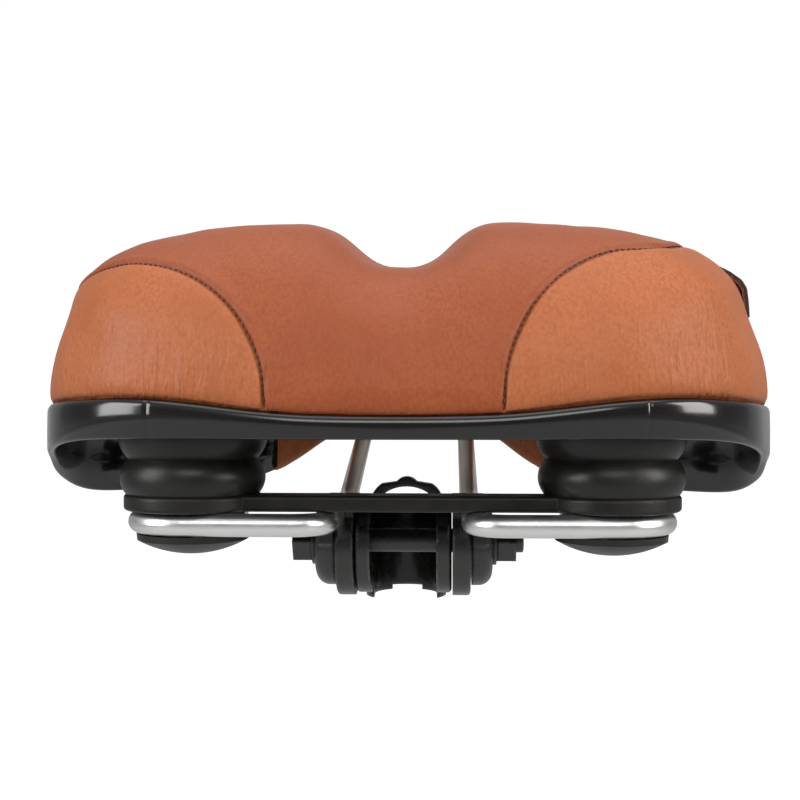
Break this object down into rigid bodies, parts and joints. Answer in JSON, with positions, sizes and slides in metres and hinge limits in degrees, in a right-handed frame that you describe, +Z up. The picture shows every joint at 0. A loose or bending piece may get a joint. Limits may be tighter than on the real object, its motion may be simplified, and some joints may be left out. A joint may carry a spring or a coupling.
{
  "type": "bicycle saddle",
  "caption": "Wide padded bicycle saddle in tan leather on a black plastic shell, sprung on rubber blocks over steel rails, with a tilting seat-post clamp.",
  "frame": {"origin": "on the seat post's axis, level with the clamp bolt", "axes": "+Z up along the post, +Y to the saddle's nose, +X to the rider's right"},
  "size_m": [0.248, 0.2644, 0.1271],
  "materials": {
    "clamp_paint": "gloss black electrocoat over pressed steel, worn at the edges",
    "bolt_black": "black oxide, satin",
    "rail_steel": "satin chrome plate on 7 mm steel rod",
    "plate_paint": "black glass-filled nylon, satin",
    "shell_plastic": "moulded black polypropylene, glossy, soft reflections",
    "foam": "moulded open-cell polyurethane foam",
    "leather_center": "cognac leather, fine grain, soft sheen",
    "leather_side": "cognac leather, fine grain, wrinkled near the rim",
    "spring_rubber": "black moulded elastomer, satin",
    "dome_rubber": "black moulded cap, satin",
    "tag_fabric": "woven folded label, blank",
    "nylon": "black nylon",
    "screw_steel": "zinc-plated steel"
  },
  "bodies": {
    "post_clamp": {"clamp_band": "clamp_paint", "post_stop": "clamp_paint"},
    "rail_clamp": {"rail_cradle_left": "clamp_paint", "rail_cradle_right": "clamp_paint", "rail_cap_left": "clamp_paint", "rail_cap_right": "clamp_paint", "clamp_washer_left": "bolt_black", "clamp_washer_right": "bolt_black", "clamp_bolt": "bolt_black"},
    "nut": {"clamp_nut": "bolt_black"},
    "frame": {"rail_frame": "rail_steel", "bridge_plate": "plate_paint", "elastomer_left": "spring_rubber", "elastomer_right": "spring_rubber"},
    "seat": {"base_shell": "shell_plastic", "foam_pad": "foam", "cover_center": "leather_center", "cover_left": "leather_side", "cover_right": "leather_side", "side_tag": "tag_fabric", "nose_socket": "nylon", "nose_keeper": "nylon", "nose_screws": "screw_steel", "dome_cap_left": "dome_rubber", "dome_cap_right": "dome_rubber", "spring_washer_left": "screw_steel", "spring_washer_right": "screw_steel", "spring_bolt_left": "screw_steel", "spring_bolt_right": "screw_steel", "threaded_insert_left": "screw_steel", "threaded_insert_right": "screw_steel"}
  },
  "joints": [
    {"name": "tilt", "type": "hinge", "parent": "post_clamp", "child": "rail_clamp", "pos_m": [0, -0.017, 0], "axis": [1, 0, 0], "range_deg": [-15, 15]},
    {"name": "fore_aft", "type": "slide", "parent": "rail_clamp", "child": "frame", "axis": [0, 1, 0], "range_m": [-0.014, 0.014]},
    {"name": "suspension", "type": "hinge", "parent": "frame", "child": "seat", "pos_m": [0, 0.15, 0.04362], "axis": [1, 0, 0], "range_deg": [0, 1.5], "stiffness_Nm_per_rad": 3200, "deforming": ["elastomer_left", "elastomer_right"]},
    {"name": "nut_turn", "type": "hinge", "parent": "rail_clamp", "child": "nut", "pos_m": [0.034, -0.017, 0], "axis": [1, 0, 0], "continuous": true}
  ]
}
